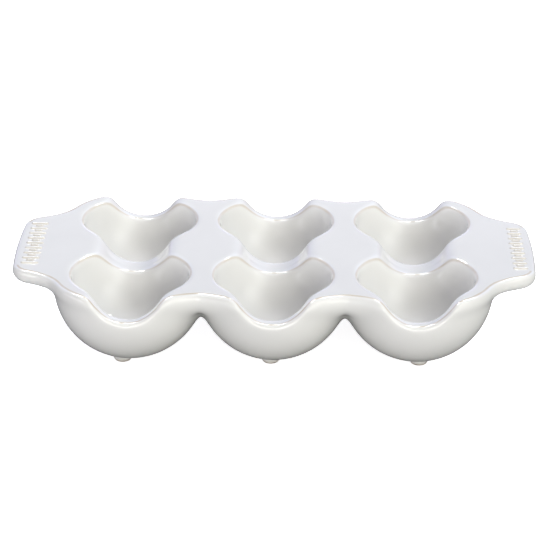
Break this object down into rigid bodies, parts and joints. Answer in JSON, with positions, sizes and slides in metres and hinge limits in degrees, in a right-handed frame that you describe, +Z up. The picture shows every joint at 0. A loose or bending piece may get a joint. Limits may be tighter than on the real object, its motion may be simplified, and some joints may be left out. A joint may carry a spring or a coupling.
{
  "type": "egg holder tray",
  "caption": "Low glazed stoneware egg tray: round egg cups hanging under a flat deck, U-shaped troughs over the cup pairs, a lug handle at each end and a small foot under each cup.",
  "frame": {"origin": "centre of the tray on the plane of the foot bottoms", "axes": "+Z up, X along the tray from handle to handle, -Y towards the front row of cups"},
  "size_m": [0.23, 0.125, 0.0418],
  "materials": {
    "glaze": "glossy off-white glaze that thins to a faint tan line along the rims",
    "foot": "glazed sides, bare matt stoneware on the flat bottom",
    "relief": "glossy off-white glaze, thin and slightly tan on the raised edges"
  },
  "bodies": {
    "root": {"tray_body": "glaze", "foot_front_left": "foot", "foot_front_middle": "foot", "foot_front_right": "foot", "foot_back_left": "foot", "foot_back_middle": "foot", "foot_back_right": "foot", "handle_relief_left": "relief", "handle_relief_right": "relief"}
  },
  "joints": []
}
